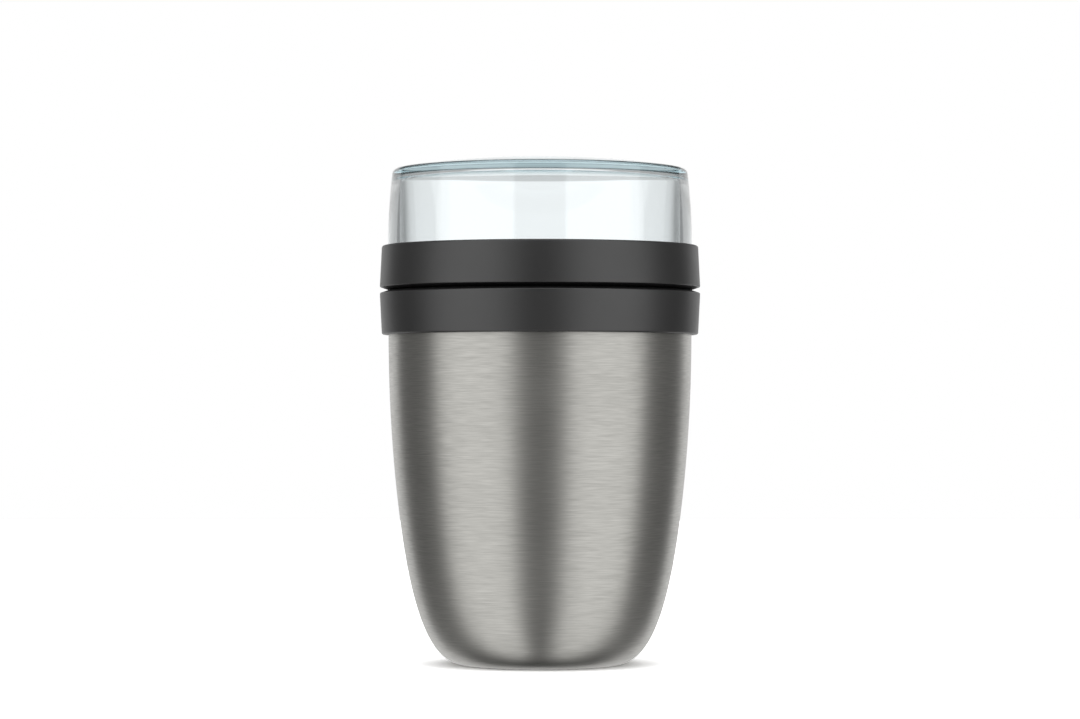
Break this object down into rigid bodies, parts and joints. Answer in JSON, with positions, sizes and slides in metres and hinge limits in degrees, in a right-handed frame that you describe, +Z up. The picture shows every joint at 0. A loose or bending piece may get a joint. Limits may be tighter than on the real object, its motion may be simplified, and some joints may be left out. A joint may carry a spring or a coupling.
{
  "type": "insulated lunch pot",
  "caption": "Round vacuum-insulated steel lunch pot with a black plastic collar, a screw lid that holds food hot, and a clear cup stored mouth down on top.",
  "frame": {"origin": "on the floor under the middle of the pot", "axes": "+Z up along the pot's axis; the pot is round, so +X and +Y are free, and a thread start of the lid lies on +X"},
  "size_m": [0.11, 0.11, 0.1736],
  "materials": {
    "brushed_steel": "stainless steel, fine brush lines round the pot",
    "inner_steel": "stainless steel, satin",
    "copper_foil": "thin copper foil, bright",
    "seal_glass": "solder glass bead",
    "black_plastic": "fine matte texture",
    "getter_pellet": "pressed grey powder",
    "silicone": "translucent white silicone, matte",
    "white_foam": "closed-cell foam",
    "clear_plastic": "clear moulded plastic with a faint blue tint, polished"
  },
  "bodies": {
    "pot": {"outer_shell": "brushed_steel", "inner_vessel": "inner_steel", "reflector_foil": "copper_foil", "outer_bottom": "inner_steel", "vacuum_seal_bead": "seal_glass", "base_cover": "black_plastic", "getter": "getter_pellet", "collar": "black_plastic", "collar_seal": "silicone"},
    "lid_gasket": {"lid_seal": "silicone"},
    "lid": {"lid_body": "black_plastic", "lid_bottom": "black_plastic", "lid_foam": "white_foam"},
    "cup_gasket": {"cup_seal": "silicone"},
    "cup": {"clear_cup": "clear_plastic"}
  },
  "joints": [
    {"name": "lid_rise", "type": "slide", "parent": "pot", "child": "lid_gasket", "axis": [0, 0, 1], "range_m": [0, 0.0225]},
    {"name": "lid_turn", "type": "hinge", "parent": "lid_gasket", "child": "lid", "pos_m": [0, 0, 0.12], "axis": [0, 0, 1], "range_deg": [0, 450]},
    {"name": "cup_rise", "type": "slide", "parent": "lid", "child": "cup_gasket", "axis": [0, 0, 1], "range_m": [0, 0.0135]},
    {"name": "cup_turn", "type": "hinge", "parent": "cup_gasket", "child": "cup", "pos_m": [0, 0, 0.14], "axis": [0, 0, 1], "range_deg": [0, 270]}
  ],
  "couplings": [
    {"joint": "lid_rise", "follows": "lid_turn", "m_per_rad": 0.0028648},
    {"joint": "cup_rise", "follows": "cup_turn", "m_per_rad": 0.0028648}
  ]
}
